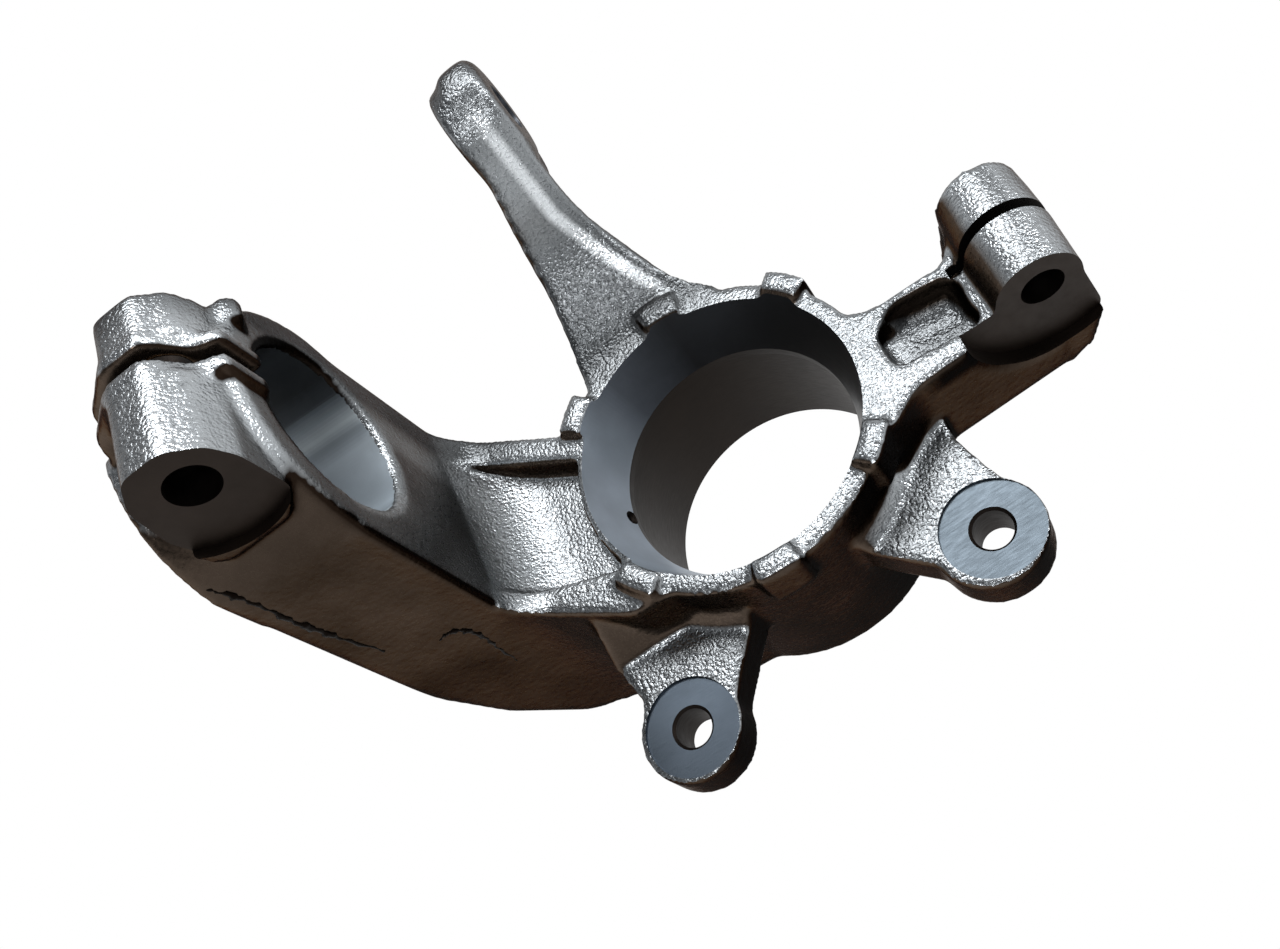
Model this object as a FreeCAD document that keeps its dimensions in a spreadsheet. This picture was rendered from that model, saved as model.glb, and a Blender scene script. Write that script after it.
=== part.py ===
import FreeCAD, Part
import math
import os
import re
import Sketcher

# A cast-iron steering knuckle for the right-hand front wheel of a car, in millimetres.
# +Z is the wheel bearing's axis, pointing inboard, and the origin is the middle of the bearing seat.
# +X points along the caliper ears towards the ball joint, and +Y towards the steering arm.
# First the raw casting is built up, then every machined face and hole is cut into it.

doc = FreeCAD.newDocument("steering_knuckle")
sheet = doc.addObject("Spreadsheet::Sheet", "sizes")

SIZES = {
    # bearing housing
    "bearing_diameter": 82.0,
    "seat_length": 47.4,
    "lip_diameter": 72.8,
    "lip_thickness": 3.1,
    "mouth_diameter": 85.8,
    "mouth_depth": 18.1,
    "housing_diameter": 96.8,
    "housing_draft": 3.2,
    "seat_chamfer": 0.6,
    "relief_hole": 3.4,
    "relief_hole_angle": 174.0,
    "relief_hole_rise": 1.4,
    "relief_hole_depth": 9.0,
    # six raised pads round the mouth, two groups of three
    "pad_height": 3.7,
    "pad_sweep": 15.5,
    "pad_step": 50.0,
    "pad_first_angle": 35.0,
    "pad_diameter": 101.8,
    "pad_reach": 12.0,
    # two ears for the brake caliper
    "ear_span": 94.9,
    "ear_shift": 1.85,
    "ear_offset": 61.9,
    "ear_drop": 20.0,
    "lower_ear_diameter": 30.6,
    "lower_ear_inset": 1.5,
    "upper_ear_diameter": 29.8,
    "upper_ear_inset": 0.8,
    "ear_thickness": 13.5,
    "caliper_hole": 10.8,
    "spot_diameter": 27.8,
    "spot_depth": 1.0,
    "ear_chamfer": 0.8,
    "web_thickness": 14.0,
    "web_root": 4.5,
    "flank_root": 18.0,
    # strut clamp on its column
    "strut_diameter": 52.0,
    "strut_wall": 10.2,
    "strut_offset": 23.5,
    "strut_rise": 68.2,
    "strut_tilt": 4.0,
    "column_inner": 75.5,
    "column_thickness": 40.5,
    "column_fillet": 12.0,
    "strut_slit": 4.4,
    "strut_bolt_hole": 13.0,
    "strut_bolt_rise": 38.9,
    "strut_bolt_inset": 15.0,
    "strut_boss_near": 32.5,
    "strut_flange": 4.5,
    "strut_boss_far": 21.5,
    "strut_face_diameter": 43.0,
    "nut_stop_diameter": 7.6,
    "nut_stop_reach": 14.0,
    "nut_stop_drop": 9.0,
    "nut_stop_stand": 2.3,
    # arm between the column and the housing
    "arm_depth": 81.0,
    "channel_depth": 9.0,
    "channel_sweep": 22.0,
    "core_wall": 11.0,
    "core_floor": 13.0,
    # lower arm and ball-joint clamp
    "joint_reach": 93.5,
    "joint_offset": 4.2,
    "joint_turn": 6.5,
    "joint_bolt_hole": 12.0,
    "joint_boss_diameter": 25.4,
    "joint_boss_taper": 1.4,
    "joint_boss_shift": 0.9,
    "joint_boss_near": 19.0,
    "joint_boss_far": 18.1,
    "joint_slit": 3.4,
    "joint_bore_diameter": 18.0,
    "joint_bore_drop": 14.0,
    "joint_bore_depth": 34.0,
    "joint_face_diameter": 48.0,
    "lower_arm_depth": 34.6,
    "lower_pocket_depth": 7.0,
    # steering arm and its taper eye
    "eye_offset": 106.0,
    "eye_rise": 50.0,
    "eye_shift": 5.5,
    "eye_diameter": 32.0,
    "eye_length": 18.0,
    "eye_boss_depth": 6.0,
    "eye_small_diameter": 12.0,
    "eye_large_diameter": 14.5,
}

for row, (word, number) in enumerate(SIZES.items(), start=1):
    sheet.set(f"A{row}", word.replace("_", " "))
    sheet.set(f"B{row}", str(number))
    sheet.setAlias(f"B{row}", word)
doc.recompute()

WORD = re.compile(r"[a-z_]+[a-z]")
MOUTH = "(seat_length / 2 + lip_thickness + mouth_depth)"
REACH = 400.0


def linked(formula):
    """The formula with each size's word read from the sheet."""
    return WORD.sub(lambda found: "sizes." + found.group() if found.group() in SIZES else found.group(), formula)


def bind(thing, **formulas):
    """Tie a thing's sizes to formulas."""
    for size, formula in formulas.items():
        thing.setExpression(size, linked(formula))
    return thing


def place(thing, x="0", y="0", z="0", axis=None, turn=None):
    """Put a thing at a point, turned about an axis through its own origin."""
    if axis:
        thing.Placement = FreeCAD.Placement(FreeCAD.Vector(), FreeCAD.Rotation(FreeCAD.Vector(*axis), 10))
        thing.setExpression("Placement.Rotation.Angle", f"({linked(turn)}) * 1 deg")
    for side, formula in zip("xyz", (x, y, z)):
        thing.setExpression(f"Placement.Base.{side}", linked(formula))
    return thing


def cylinder(name, diameter, length, **where):
    """A round bar that stands on its place."""
    bar = doc.addObject("Part::Cylinder", name)
    bind(bar, Radius=f"({diameter}) / 2", Height=length)
    return place(bar, **where)


def cone(name, first_diameter, last_diameter, length, **where):
    """A tapered round bar that stands on its place."""
    bar = doc.addObject("Part::Cone", name)
    bind(bar, Radius1=f"({first_diameter}) / 2", Radius2=f"({last_diameter}) / 2", Height=length)
    return place(bar, **where)


def block(name, length, width, height, **where):
    """A plain block with its lowest corner at its place."""
    solid = doc.addObject("Part::Box", name)
    bind(solid, Length=length, Width=width, Height=height)
    return place(solid, **where)


def fuse(name, *pieces):
    joined = doc.addObject("Part::MultiFuse", name)
    joined.Shapes = list(pieces)
    return joined


def common(name, first, second):
    shared = doc.addObject("Part::Common", name)
    shared.Base = first
    shared.Tool = second
    return shared


def cut(name, base, tool):
    rest = doc.addObject("Part::Cut", name)
    rest.Base = base
    rest.Tool = tool
    return rest


def outline(body, plane, corners):
    """A closed sketch whose corners are pairs of formulas, on one of the body's own planes."""
    origin_plane = next(item for item in body.Origin.OriginFeatures if item.Role == plane)
    sketch = body.newObject("Sketcher::SketchObject", body.Name + "_outline")
    sketch.AttachmentSupport = [(origin_plane, "")]
    sketch.MapMode = "FlatFace"
    count = len(corners)
    turns = [2 * math.pi * step / count for step in range(count)]
    start = [FreeCAD.Vector(math.cos(turn), math.sin(turn), 0) * 50 for turn in turns]
    for step in range(count):
        sketch.addGeometry(Part.LineSegment(start[step], start[(step + 1) % count]))
    for step in range(count):
        sketch.addConstraint(Sketcher.Constraint("Coincident", step, 2, (step + 1) % count, 1))
    for step, (across, up) in enumerate(corners):
        for kind, formula, value in (("DistanceX", across, start[step].x), ("DistanceY", up, start[step].y)):
            number = sketch.addConstraint(Sketcher.Constraint(kind, -1, 1, step, 1, value))
            sketch.setExpression(f"Constraints[{number}]", linked(formula))
    return sketch


def prism(name, plane, corners, length, radii=None, draft="0", **where):
    """An outline made solid; radii gives corners, by number, a rounded edge."""
    body = doc.addObject("PartDesign::Body", name)
    sketch = outline(body, plane, corners)
    pad = body.newObject("PartDesign::Pad", name + "_pad")
    pad.Profile = sketch
    bind(pad, Length=length, TaperAngle=f"({draft}) * 1 deg")
    doc.recompute()
    if radii:
        points = [sketch.getPoint(step, 1) for step in range(len(corners))]
        points = [sketch.Placement.multVec(point) for point in points]
        along = sketch.Placement.Rotation.multVec(FreeCAD.Vector(0, 0, 1))
        for number, (step, radius) in enumerate(radii.items()):
            base = body.Tip
            names = edges_at(base.Shape, points[step], along)
            rounding = body.newObject("PartDesign::Fillet", f"{name}_round_{number}")
            rounding.Base = (base, names)
            bind(rounding, Radius=radius)
            doc.recompute()
    return place(body, **where)


def edges_at(shape, point, along):
    """Names of the straight edges that run along a direction through a point."""
    names = []
    for number, edge in enumerate(shape.Edges, start=1):
        if not isinstance(edge.Curve, Part.Line):
            continue
        middle = edge.CenterOfMass - point
        if middle.cross(along).Length < 0.01 and edge.Curve.Direction.cross(along).Length < 0.01:
            names.append(f"Edge{number}")
    return names


# bearing housing

def bearing_housing():
    """The housing's round wall, solid so far, with the pads that stand on its mouth."""
    rim = "housing_diameter - 2 * housing_draft"
    wall = cone("housing_wall", rim, "housing_diameter", f"{MOUTH} + seat_length / 2", z="-seat_length / 2")
    pads = []
    for group in range(2):
        for step in range(3):
            angle = f"pad_first_angle + {180 * group} + {step} * pad_step - pad_sweep / 2"
            pad = cylinder(
                f"pad_{group}_{step}",
                "pad_diameter",
                "pad_height + pad_reach",
                z=f"{MOUTH} - pad_reach",
                axis=(0, 0, 1),
                turn=angle,
            )
            bind(pad, Angle="pad_sweep * 1 deg")
            pads.append(pad)
    return fuse("bearing_housing", wall, *pads)


# caliper ears

def caliper_ears():
    """Two round ears on flat webs that spread to the housing's wall."""
    top = f"{MOUTH} - ear_drop + spot_depth"
    near = "(ear_span / 2 - ear_shift)"
    far = "(-ear_span / 2 - ear_shift)"
    pieces = []
    for side, middle in (("lower", f"{near} - lower_ear_inset"), ("upper", f"{far} - upper_ear_inset")):
        ear = cylinder(
            f"{side}_ear",
            f"{side}_ear_diameter",
            "ear_thickness",
            x=middle,
            y="-ear_offset",
            z=f"{top} - ear_thickness",
        )
        pieces.append(ear)
    lower_web = [
        (f"{near} - lower_ear_diameter / 2 - 1", "-ear_offset - 1"),
        (f"{near} - 31", "-ear_offset + 15"),
        ("5", "-20"),
        (f"{near} + 8", "-10"),
        (f"{near} + 6.5", "-ear_offset + 28"),
        (f"{near} + 8.5", "-ear_offset + 16"),
        (f"{near} + 11", "-ear_offset + 6.5"),
        (f"{near}", "-ear_offset - 3"),
    ]
    upper_web = [
        (f"{far} - 12", "-ear_offset + 9"),
        (f"{far} - 9.5", "-ear_offset + 15"),
        (f"{far} - 11.5", "-ear_offset + 22"),
        (f"{far} - 12", "-10"),
        ("-5", "-20"),
        (f"{far} + 29", "-ear_offset + 17"),
        (f"{far} + 19.5", "-ear_offset + 6.2"),
        (f"{far} + upper_ear_diameter / 2 - 1", "-ear_offset - 0.5"),
        (f"{far}", "-ear_offset - 3"),
    ]
    rounds = {1: "14"}
    pieces.append(prism("lower_web", "XY_Plane", lower_web, "web_thickness", rounds, z=f"{top} - web_thickness"))
    pieces.append(prism("upper_web", "XY_Plane", upper_web, "web_thickness", z=f"{top} - web_thickness"))
    wall = "(housing_diameter - housing_draft / 2)"
    sweep = cone("web_sweep", f"{wall} + 2 * web_root", wall, "web_root", z=top)
    roots = fuse(
        "web_shadows",
        prism("lower_web_shadow", "XY_Plane", lower_web, "web_root", rounds, z=top),
        prism("upper_web_shadow", "XY_Plane", upper_web, "web_root", z=top),
    )
    pieces.append(common("web_roots", sweep, roots))
    crest = f"{top} + flank_root"
    slope = [
        ("-18", top),
        ("-36", top),
        ("-24", crest),
        ("-18", crest),
    ]
    spread = [
        ("-62", top),
        ("-36", top),
        ("-36", crest),
        ("-57", crest),
    ]
    pieces.append(
        common(
            "flank_root",
            prism("flank_slope", "YZ_Plane", slope, "40", x="-70"),
            prism("flank_spread", "XZ_Plane", spread, "40"),
        )
    )
    return pieces


# strut arm, its column and clamp

def strut_arm():
    """A deep arm that turns up into a column with a round top, hollow on its outboard side."""
    inner = "-column_inner"
    outer = "(-column_inner - column_thickness)"
    axis_height = f"({MOUTH} + strut_rise)"
    half = "(strut_diameter / 2 + strut_wall)"
    side = [
        (inner, axis_height),
        (inner, MOUTH),
        ("-20", MOUTH),
        ("-20", "-seat_length / 2"),
        ("-50", "-seat_length / 2"),
        ("-60", f"{MOUTH} - arm_depth + 5"),
        (f"{inner} - 1", f"{MOUTH} - arm_depth"),
        (f"{inner} - 17", f"{MOUTH} - arm_depth + 6.5"),
        (f"{outer} + 8", f"{MOUTH} - arm_depth + 38"),
        (f"{outer} + 1.2", f"{MOUTH} - 14"),
        (f"{outer} - 1", f"{MOUTH} + 18"),
        (outer, f"{MOUTH} + 38"),
        (outer, axis_height),
    ]
    rounds = {1: "column_fillet", 6: "14", 7: "20", 8: "30"}
    profile = prism("strut_arm_side", "XZ_Plane", side, str(REACH), rounds, y=str(REACH / 2))
    plan = [
        (outer, f"strut_offset - {half}"),
        (inner, f"strut_offset - {half}"),
        ("-45", "-34"),
        ("-10", "-38"),
        ("-10", "30"),
        ("-36", "29"),
        (inner, f"strut_offset + {half} - 2"),
        (outer, f"strut_offset + {half}"),
    ]
    rounds = {0: "2.5", 1: "30", 2: "12", 6: "20", 7: "7"}
    shadow = prism("strut_arm_plan", "XY_Plane", plan, str(REACH), rounds, z=str(-REACH / 2))
    elbow = common("strut_elbow", profile, shadow)
    top = cylinder(
        "clamp_ring",
        f"2 * {half}",
        "column_thickness",
        x=outer,
        y="strut_offset",
        z=axis_height,
        axis=(0, 1, 0),
        turn="90",
    )
    return [elbow, top]


def pinch_ears():
    """The block on top of the clamp that the pinch bolt goes through."""
    axis_height = f"{MOUTH} + strut_rise"
    bolt = f"({axis_height} + strut_bolt_rise)"
    centre = "(-column_inner - strut_bolt_inset)"
    near = "(strut_offset - strut_boss_near)"
    boss_side = [
        (f"{centre} - 16.5", f"{bolt} - 9"),
        (f"{centre} - 14", f"{bolt} + 5"),
        (f"{centre} - 8", f"{bolt} + 12.7"),
        (f"{centre} + 3", f"{bolt} + 12.7"),
        (f"{centre} + 10", f"{bolt} + 6.5"),
        (f"{centre} + 12.5", f"{bolt} - 1"),
        (f"{centre} + 12.5", f"{bolt} - 17"),
        (f"{centre} + 5", f"{bolt} - 25"),
        (f"{centre} - 5", f"{bolt} - 30"),
        (f"{centre} - 14.5", f"{bolt} - 20"),
    ]
    flange_side = [
        (f"{centre} + 16.5", axis_height),
        (f"{centre} + 16.5", f"{bolt} + 0.5"),
        (f"{centre} + 9.5", f"{bolt} + 3.2"),
        (f"{centre} + 6.2", f"{bolt} + 9.5"),
        (f"{centre} + 3.5", f"{bolt} + 12.9"),
        (f"{centre} - 8", f"{bolt} + 12.9"),
        (f"{centre} - 19.5", f"{bolt} + 4.5"),
        (f"{centre} - 22", f"{bolt} - 0.5"),
        (f"{centre} - 22", f"{bolt} - 10"),
        (f"{centre} - 24", f"{axis_height} + 15"),
    ]
    boss_rounds = {0: "8", 1: "8", 2: "4", 3: "6", 4: "5", 5: "5"}
    flange_rounds = {1: "2", 2: "5", 3: "3", 4: "2", 5: "8"}
    half_strip = "(strut_slit / 2 + strut_flange)"
    near_length = f"strut_boss_near - {half_strip}"
    far_length = f"strut_boss_far - {half_strip}"
    far = "strut_offset + strut_boss_far"
    strip_end = f"strut_offset + {half_strip}"
    return [
        prism("near_boss", "XZ_Plane", boss_side, near_length, boss_rounds, y=f"{near} + {near_length}"),
        prism("far_boss", "XZ_Plane", boss_side, far_length, boss_rounds, y=far),
        prism("pinch_flange", "XZ_Plane", flange_side, f"2 * {half_strip}", flange_rounds, y=strip_end),
        cylinder(
            "nut_stop",
            "nut_stop_diameter",
            "nut_stop_diameter",
            x=f"{centre} + nut_stop_reach",
            y=f"{far} + nut_stop_stand",
            z=f"{bolt} - nut_stop_drop",
            axis=(1, 0, 0),
            turn="90",
        ),
    ]


# lower arm and ball-joint clamp

def lower_arm():
    """The arm to the ball joint, with a shallow pocket between two ribs."""
    plan = [
        ("10", "-32"),
        ("37", "-34"),
        ("50", "-26.5"),
        ("joint_reach - 3", "-26.5"),
        ("joint_reach - 4", "9"),
        ("joint_reach - 12", "9"),
        ("joint_reach - 17", "2"),
        ("49", "4"),
        ("40", "22"),
        ("10", "20"),
    ]
    rounds = {2: "12", 6: "5", 7: "14"}
    arm = prism("lower_arm_bar", "XY_Plane", plan, "lower_arm_depth", rounds, z=f"{MOUTH} - lower_arm_depth")
    pocket = [
        ("50", "-17"),
        ("joint_reach - 17", "-21"),
        ("joint_reach - 21", "-8"),
        ("51", "-3"),
    ]
    rounds = {0: "3", 1: "3", 2: "3", 3: "3"}
    hollow = prism("lower_pocket", "XY_Plane", pocket, "30", rounds, z=f"{MOUTH} - lower_pocket_depth")
    return cut("lower_arm", arm, hollow)


def joint_clamp():
    """The clamp block for the ball joint's stud, square to its pinch bolt."""
    width = "joint_boss_near + joint_boss_far"
    side = [
        ("-12", "3"),
        ("0", "joint_boss_diameter / 2 - 3"),
        ("9.6", "6"),
        ("13.2", "-19"),
        ("7.5", "-32"),
        ("-2", "-38.5"),
        ("-20", "-36"),
    ]
    rounds = {3: "4", 4: "6", 5: "5"}
    body = prism("joint_block", "XZ_Plane", side, width, rounds, y="joint_boss_far")
    near = cone(
        "near_joint_boss",
        "joint_boss_diameter",
        "joint_boss_diameter - joint_boss_taper",
        "joint_boss_near",
        x="-joint_boss_shift",
        axis=(1, 0, 0),
        turn="90",
    )
    far = cone(
        "far_joint_boss",
        "joint_boss_diameter",
        "joint_boss_diameter - joint_boss_taper",
        "joint_boss_far",
        x="-joint_boss_shift",
        axis=(1, 0, 0),
        turn="-90",
    )
    clamp = fuse("joint_clamp", body, near, far)
    return place(clamp, x="joint_reach", y="-joint_offset", z=MOUTH, axis=(0, 0, 1), turn="-joint_turn")


# steering arm

def steering_arm():
    """The swept arm to the tie rod, wide at the housing and slim at the eye."""
    eye_height = f"({MOUTH} + eye_rise)"
    side = [
        ("30", MOUTH),
        ("50", MOUTH),
        ("eye_offset - 33", f"{eye_height} - 32"),
        ("eye_offset - 15", f"{eye_height} + 6"),
        ("eye_offset - 4", f"{eye_height} + 17"),
        ("eye_offset + 5", f"{eye_height} + 18.6"),
        ("eye_offset + 13", f"{eye_height} + 14"),
        ("eye_offset + 18", f"{eye_height} + 4"),
        ("eye_offset + 17.5", f"{eye_height} - 9"),
        ("eye_offset + 8", f"{eye_height} - 20"),
        ("eye_offset - 8", f"{eye_height} - 30"),
        ("62", f"{MOUTH} - 26"),
        ("42", f"{MOUTH} - 50"),
        ("30", f"{MOUTH} - 50"),
    ]
    rounds = {1: "18", 2: "50", 3: "8", 5: "4", 6: "6", 7: "6", 8: "8"}
    profile = prism("steering_arm_side", "YZ_Plane", side, str(REACH), rounds, x=str(-REACH / 2))
    left = "(-eye_shift - eye_length / 2)"
    right = "(-eye_shift + eye_length / 2)"
    front = [
        ("-28", "30"),
        ("-26.4", "48"),
        (f"{left} - 6", "eye_offset - 35"),
        (f"{left} - 2", "eye_offset - 24"),
        (f"{left} + 1.6", "eye_offset - 15"),
        (f"{left} + eye_boss_depth - 0.4", "eye_offset - 1"),
        (f"{left} + eye_boss_depth", "eye_offset + 25"),
        (f"{right} - 1", "eye_offset + 25"),
        (f"{right} - 1.5", "eye_offset - 3"),
        (f"{right} - 5.6", "eye_offset - 13"),
        (f"{right} - 6", "eye_offset - 19"),
        (f"{right} - 4.8", "eye_offset - 25.5"),
        (f"{right} + 1", "eye_offset - 34.5"),
        ("15.5", "53"),
        ("22", "46"),
        ("28", "30"),
    ]
    shadow = prism("steering_arm_front", "XY_Plane", front, str(REACH), z=str(-REACH / 2))
    bar = common("steering_arm_bar", profile, shadow)
    eye = cylinder(
        "tie_rod_boss",
        "eye_diameter",
        "eye_length",
        x=left,
        y="eye_offset",
        z=eye_height,
        axis=(0, 1, 0),
        turn="90",
    )
    return [bar, eye]


# machining

def bearing_bore():
    """The stepped bore: seat from the outboard side, lip, and the open cone of the mouth."""
    seat = cylinder("bearing_seat", "bearing_diameter", "seat_length + 10", z="-seat_length / 2 - 10")
    lip = cylinder("bearing_lip", "lip_diameter", "lip_thickness + 2", z="seat_length / 2 - 1")
    slope = "(mouth_diameter - lip_diameter) / mouth_depth"
    mouth = cone(
        "bearing_mouth",
        "lip_diameter",
        f"mouth_diameter + {slope} * 10",
        "mouth_depth + 10",
        z="seat_length / 2 + lip_thickness",
    )
    lead_in = cone(
        "seat_lead_in",
        "bearing_diameter + 2 * seat_chamfer",
        "bearing_diameter",
        "seat_chamfer",
        z="-seat_length / 2",
    )
    relief = cylinder(
        "relief_hole_bore",
        "relief_hole",
        "relief_hole_depth",
        x="lip_diameter / 2 * cos(relief_hole_angle * 1 deg)",
        y="lip_diameter / 2 * sin(relief_hole_angle * 1 deg)",
        z="seat_length / 2 + lip_thickness + relief_hole_rise",
        axis=(0, 1, 0),
        turn="-90",
    )
    return [seat, lip, mouth, lead_in, relief]


def caliper_holes():
    """A spot face and a bolt hole in each ear."""
    face = f"({MOUTH} - ear_drop)"
    cuts = []
    for side, sign in (("lower", ""), ("upper", "-")):
        centre = f"{sign}ear_span / 2 - ear_shift"
        cuts.append(cylinder(f"{side}_spot", "spot_diameter", "30", x=centre, y="-ear_offset", z=face))
        cuts.append(
            cylinder(f"{side}_hole", "caliper_hole", "60", x=centre, y="-ear_offset", z=f"{face} - 40")
        )
        cuts.append(
            cone(
                f"{side}_hole_chamfer",
                "caliper_hole",
                "caliper_hole + 2 * ear_chamfer",
                "ear_chamfer",
                x=centre,
                y="-ear_offset",
                z=f"{face} - ear_chamfer",
            )
        )
    return cuts


def strut_machining():
    """The strut's bore, the slit that lets it close, and the pinch bolt's hole and faces."""
    middle = "(-column_inner - column_thickness / 2)"
    axis_height = f"({MOUTH} + strut_rise)"
    bolt = f"({axis_height} + strut_bolt_rise)"
    centre = "(-column_inner - strut_bolt_inset)"
    near = "(strut_offset - strut_boss_near)"
    bore = cylinder(
        "strut_bore",
        "strut_diameter",
        "120",
        x=f"{middle} - 60 * cos(strut_tilt * 1 deg)",
        y="strut_offset",
        z=f"{axis_height} + 60 * sin(strut_tilt * 1 deg)",
        axis=(0, 1, 0),
        turn="90 + strut_tilt",
    )
    slit = block(
        "strut_slit_cut",
        "120",
        "strut_slit",
        "100",
        x=f"{middle} - 60",
        y="strut_offset - strut_slit / 2",
        z=axis_height,
    )
    hole = cylinder(
        "strut_bolt_bore",
        "strut_bolt_hole",
        "140",
        x=centre,
        y=f"{near} + 100",
        z=bolt,
        axis=(1, 0, 0),
        turn="90",
    )
    face = cylinder(
        "strut_bolt_face",
        "strut_face_diameter",
        "60",
        x=centre,
        y=near,
        z=bolt,
        axis=(1, 0, 0),
        turn="90",
    )
    return [bore, slit, hole, face]


def joint_machining():
    """The stud's bore and slit and the pinch bolt's hole and near face, square to the clamp."""
    bore = cylinder(
        "stud_bore",
        "joint_bore_diameter",
        "joint_bore_depth",
        x="-18",
        z="-joint_bore_drop",
        axis=(0, 1, 0),
        turn="90",
    )
    slit = block("stud_slit", "60", "joint_slit", "40", x="-18", y="-joint_slit / 2", z="-joint_bore_drop")
    hole = cylinder("joint_bolt_bore", "joint_bolt_hole", "100", y="50", axis=(1, 0, 0), turn="90")
    face = cylinder("joint_bolt_face", "joint_face_diameter", "20", y="-joint_boss_near", axis=(1, 0, 0), turn="90")
    cuts = fuse("joint_cuts", bore, slit, hole, face)
    return place(cuts, x="joint_reach", y="-joint_offset", z=MOUTH, axis=(0, 0, 1), turn="-joint_turn")


def eye_machining():
    """The taper for the tie rod's stud."""
    return cone(
        "tie_rod_taper",
        "eye_small_diameter",
        "eye_large_diameter",
        "eye_length",
        x="-eye_shift - eye_length / 2",
        y="eye_offset",
        z=f"{MOUTH} + eye_rise",
        axis=(0, 1, 0),
        turn="90",
    )


def arm_hollows():
    """The shallow channel on the inboard side of the strut arm and the deep core behind it."""
    floor = f"{MOUTH} - channel_depth"
    channel_side = [
        ("-column_inner - 0.5", f"{MOUTH} + 30"),
        ("-column_inner - 0.5", floor),
        ("-30", floor),
        ("-30", f"{MOUTH} + 30"),
    ]
    sweep = prism("channel_sweep", "XZ_Plane", channel_side, str(REACH), {1: "channel_sweep"}, y=str(REACH / 2))
    channel_plan = [
        ("-column_inner - 2", "strut_offset - 29"),
        ("-30", "-24"),
        ("-30", "14"),
        ("-column_inner - 2", "strut_offset + 24"),
    ]
    shadow = prism("channel_plan", "XY_Plane", channel_plan, str(REACH), z=str(-REACH / 2))
    channel = common("arm_channel", sweep, shadow)
    half = "(strut_diameter / 2 + strut_wall - core_wall)"
    core_plan = [
        ("-column_inner - column_thickness + core_wall", f"strut_offset - {half}"),
        ("-column_inner", f"strut_offset - {half}"),
        ("-54", "-14"),
        ("-54", "22"),
        ("-column_inner", f"strut_offset + {half}"),
        ("-column_inner - column_thickness + core_wall", f"strut_offset + {half}"),
    ]
    core = prism(
        "arm_core",
        "XY_Plane",
        core_plan,
        "arm_depth",
        {step: "8" for step in range(6)},
        z=f"{MOUTH} - channel_depth - core_floor - arm_depth",
    )
    return [channel, core]


def steering_knuckle():
    """The finished casting. Flush faces are merged only in the last cut, which holds up at other sizes."""
    casting = fuse(
        "raw_casting",
        bearing_housing(),
        *caliper_ears(),
        *strut_arm(),
        *pinch_ears(),
        lower_arm(),
        joint_clamp(),
        *steering_arm(),
    )
    casting.Refine = False
    removed = fuse(
        "removed_metal",
        *bearing_bore(),
        *caliper_holes(),
        *strut_machining(),
        joint_machining(),
        eye_machining(),
        *arm_hollows(),
    )
    knuckle = cut("steering_knuckle", casting, removed)
    knuckle.Label = "steering_knuckle"
    return knuckle


parts = [steering_knuckle()]
doc.recompute()

failed = [item.Label for item in doc.Objects if "Invalid" in item.State or "Error" in item.State]
if failed:
    raise RuntimeError(f"these did not build: {failed}")
for part in parts:
    if part.Shape.isNull() or not part.Shape.isValid():
        raise RuntimeError(f"{part.Label} has no sound shape")

os.makedirs("parts", exist_ok=True)
for part in parts:
    part.Shape.exportStep(f"parts/{part.Label}.step")
    print(part.Label, len(part.Shape.Solids), "solid", round(part.Shape.Volume), "mm3")
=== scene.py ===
import math
from contextlib import contextmanager

import bmesh
import bpy
from mathutils import Matrix, Vector

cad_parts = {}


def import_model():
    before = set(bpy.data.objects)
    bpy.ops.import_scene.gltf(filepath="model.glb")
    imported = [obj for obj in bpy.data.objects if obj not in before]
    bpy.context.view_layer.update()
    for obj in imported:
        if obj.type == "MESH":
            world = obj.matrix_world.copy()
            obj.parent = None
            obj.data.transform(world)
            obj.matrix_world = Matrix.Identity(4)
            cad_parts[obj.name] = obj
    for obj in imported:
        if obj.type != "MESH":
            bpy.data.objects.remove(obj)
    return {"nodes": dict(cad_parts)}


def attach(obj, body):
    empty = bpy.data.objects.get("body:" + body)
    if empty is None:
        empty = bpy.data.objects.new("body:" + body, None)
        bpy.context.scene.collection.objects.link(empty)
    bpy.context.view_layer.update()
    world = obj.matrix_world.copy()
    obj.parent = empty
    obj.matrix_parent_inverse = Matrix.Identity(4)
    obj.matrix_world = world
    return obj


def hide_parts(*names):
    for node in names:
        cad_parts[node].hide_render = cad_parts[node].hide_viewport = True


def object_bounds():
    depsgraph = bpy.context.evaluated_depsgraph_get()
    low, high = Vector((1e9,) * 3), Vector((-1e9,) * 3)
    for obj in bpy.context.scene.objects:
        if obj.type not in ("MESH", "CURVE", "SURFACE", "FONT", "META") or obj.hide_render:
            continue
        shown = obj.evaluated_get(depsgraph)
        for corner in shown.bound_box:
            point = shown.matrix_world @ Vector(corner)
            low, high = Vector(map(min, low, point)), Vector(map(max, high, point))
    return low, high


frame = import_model()
cad_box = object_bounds()

# A bare cast-iron steering knuckle.
# Its cast skin is worn soft and grainy, and every machined face is cut crisp.

MM = 0.001
NODE = "steering_knuckle"

# sizes of the machined faces, in millimetres, as in the model
SEAT_LENGTH = 47.4
SEAT_RADIUS = 41.0
SEAT_CHAMFER = 0.6
LIP_RADIUS = 36.4
LIP_THICKNESS = 3.1
MOUTH_RADIUS = 42.9
MOUTH_DEPTH = 18.1
MOUTH = SEAT_LENGTH / 2 + LIP_THICKNESS + MOUTH_DEPTH
RELIEF_RADIUS = 1.7
RELIEF_SINK = 0.7
RELIEF_ANGLE = math.radians(174.0)
RELIEF_HEIGHT = SEAT_LENGTH / 2 + LIP_THICKNESS + 1.4

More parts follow.
